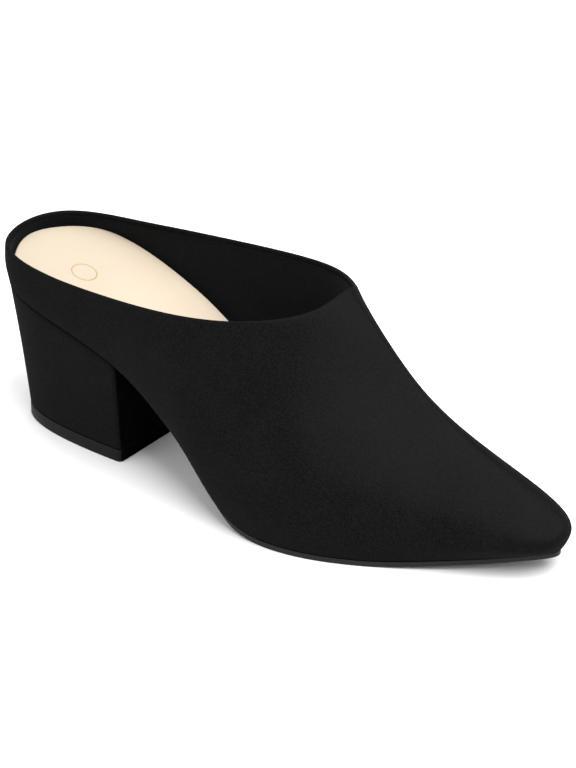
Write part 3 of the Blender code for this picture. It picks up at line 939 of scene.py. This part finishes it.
def base_half_width(x):
    """Square-ended D of the heel's base: straight sides, back rounded at its corners."""
    along = (HEEL_BASE_BACK + HEEL_BASE_LENGTH - x) / HEEL_BASE_LENGTH
    half = HEEL_BASE_WIDTH / 2 * max(0.0, 1 - along ** HEEL_SQUARENESS) ** (1 / HEEL_SQUARENESS)
    return half, half


seat_outer, seat_inner = sides(SEAT_INSET)


def seat_half_width(x):
    return (-np.interp(x, seat_outer[:, 0], seat_outer[:, 1]),
            np.interp(x, seat_inner[:, 0], seat_inner[:, 1]))


def drawn_in(outline, inset):
    """An outline made smaller all round by a small inset."""
    low = np.vstack(outline).min(axis=0)
    high = np.vstack(outline).max(axis=0)
    middle = (high + low) / 2
    half = (high - low) / 2
    return [middle + (side - middle) * (1 - inset / half) for side in outline]


def laid(outline, height):
    """Both sides of an outline, all at one height."""
    return raised(outline, lambda x: np.full(len(x), height))


base_outline = heel_outline(HEEL_BASE_BACK, HEEL_BASE_BACK + HEEL_BASE_LENGTH, base_half_width)
seat_outline = heel_outline(SEAT_INSET, SEAT_LENGTH, seat_half_width)
base_z = TOP_PIECE_HEIGHT + GAP
levels = []
for k in range(EDGE_STEPS):
    angle = math.pi / 2 * k / EDGE_STEPS
    smaller = drawn_in(base_outline, HEEL_EDGE_ROUND * (1 - math.sin(angle)))
    levels.append(laid(smaller, base_z + HEEL_EDGE_ROUND * (1 - math.cos(angle))))
low_level = laid(base_outline, base_z)
high_level = raised(seat_outline, lambda x: sole_line(x) - GAP)
edge_share = HEEL_EDGE_ROUND / BLOCK_HEIGHT
for share in np.linspace(edge_share, 1 - edge_share, HEEL_LEVELS):
    levels.append([low + share * (high - low) for low, high in zip(low_level, high_level)])
for k in range(1, HEEL_TOP_STEPS + 1):
    angle = math.pi / 2 * k / HEEL_TOP_STEPS
    smaller = drawn_in(seat_outline, HEEL_EDGE_ROUND * (1 - math.cos(angle)))
    lower = GAP + HEEL_EDGE_ROUND * (1 - math.sin(angle))
    levels.append(raised(smaller, lambda x, lower=lower: sole_line(x) - lower))
heel = slab("heel_suede", levels)
shade(heel, BLOCK_SMOOTH_ANGLE)
heel.data.materials.append(suede("heel_suede", SUEDE_TONES))
# Painted shade: the face towards the arch gets a nearly black finish.
cover(heel, rubber("breast_painted_shade", BREAST_ROUGHNESS, BREAST_SHADE_TONES, 0.0), LOOKS_FORWARD)
# Painted shade along the heel's top, where it meets the upper.
paint(heel, "seam_shade", np.vstack(high_level) - SHIFT, SEAM_SHADE_REACH)
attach(heel, "root")
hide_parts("heel")


# Top piece: a slab of harder black rubber nailed under the heel, flush with its cover. Its edges are
# slightly rounded, and it stands on a fine tread.
TIP_EDGE_ROUND = 0.0004
# The rounded edge, from the ground up: its height and its inset, as shares of TIP_EDGE_ROUND.
TIP_EDGE = ((0.0, 1.0), (0.3, 0.3), (1.0, 0.0))
HEEL_RUBBER_TONES = ((0.0040, 0.0040, 0.0041, 1.0), (0.0085, 0.0085, 0.0087, 1.0))
TIP_ROUGHNESS = 0.45
TIP_FRONT_ROUGHNESS = 0.8
TIP_GLOSS = 0.10

levels = []
for height, inset in TIP_EDGE:
    smaller = drawn_in(base_outline, TIP_EDGE_ROUND * inset)
    levels.append(laid(smaller, TIP_EDGE_ROUND * height))
for height, inset in reversed(TIP_EDGE):
    smaller = drawn_in(base_outline, TIP_EDGE_ROUND * inset)
    levels.append(laid(smaller, TOP_PIECE_HEIGHT - TIP_EDGE_ROUND * height))
top_piece = slab("top_piece_rubber", levels)
shade(top_piece, BLOCK_SMOOTH_ANGLE)
top_piece.data.materials.append(rubber("heel_rubber", TIP_ROUGHNESS, HEEL_RUBBER_TONES, TIP_GLOSS))
# Painted shade: the top piece's face towards the arch is nearly black too.
cover(top_piece, rubber("heel_rubber_front_shade", TIP_FRONT_ROUGHNESS, BREAST_SHADE_TONES, 0.0), LOOKS_FORWARD)
heel_tread = rubber("heel_tread", TREAD_ROUGHNESS, RUBBER_TONES, TIP_GLOSS, TREAD_STRENGTH)
cover(top_piece, heel_tread, LOOKS_DOWN)
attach(top_piece, "root")
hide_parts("top_piece")
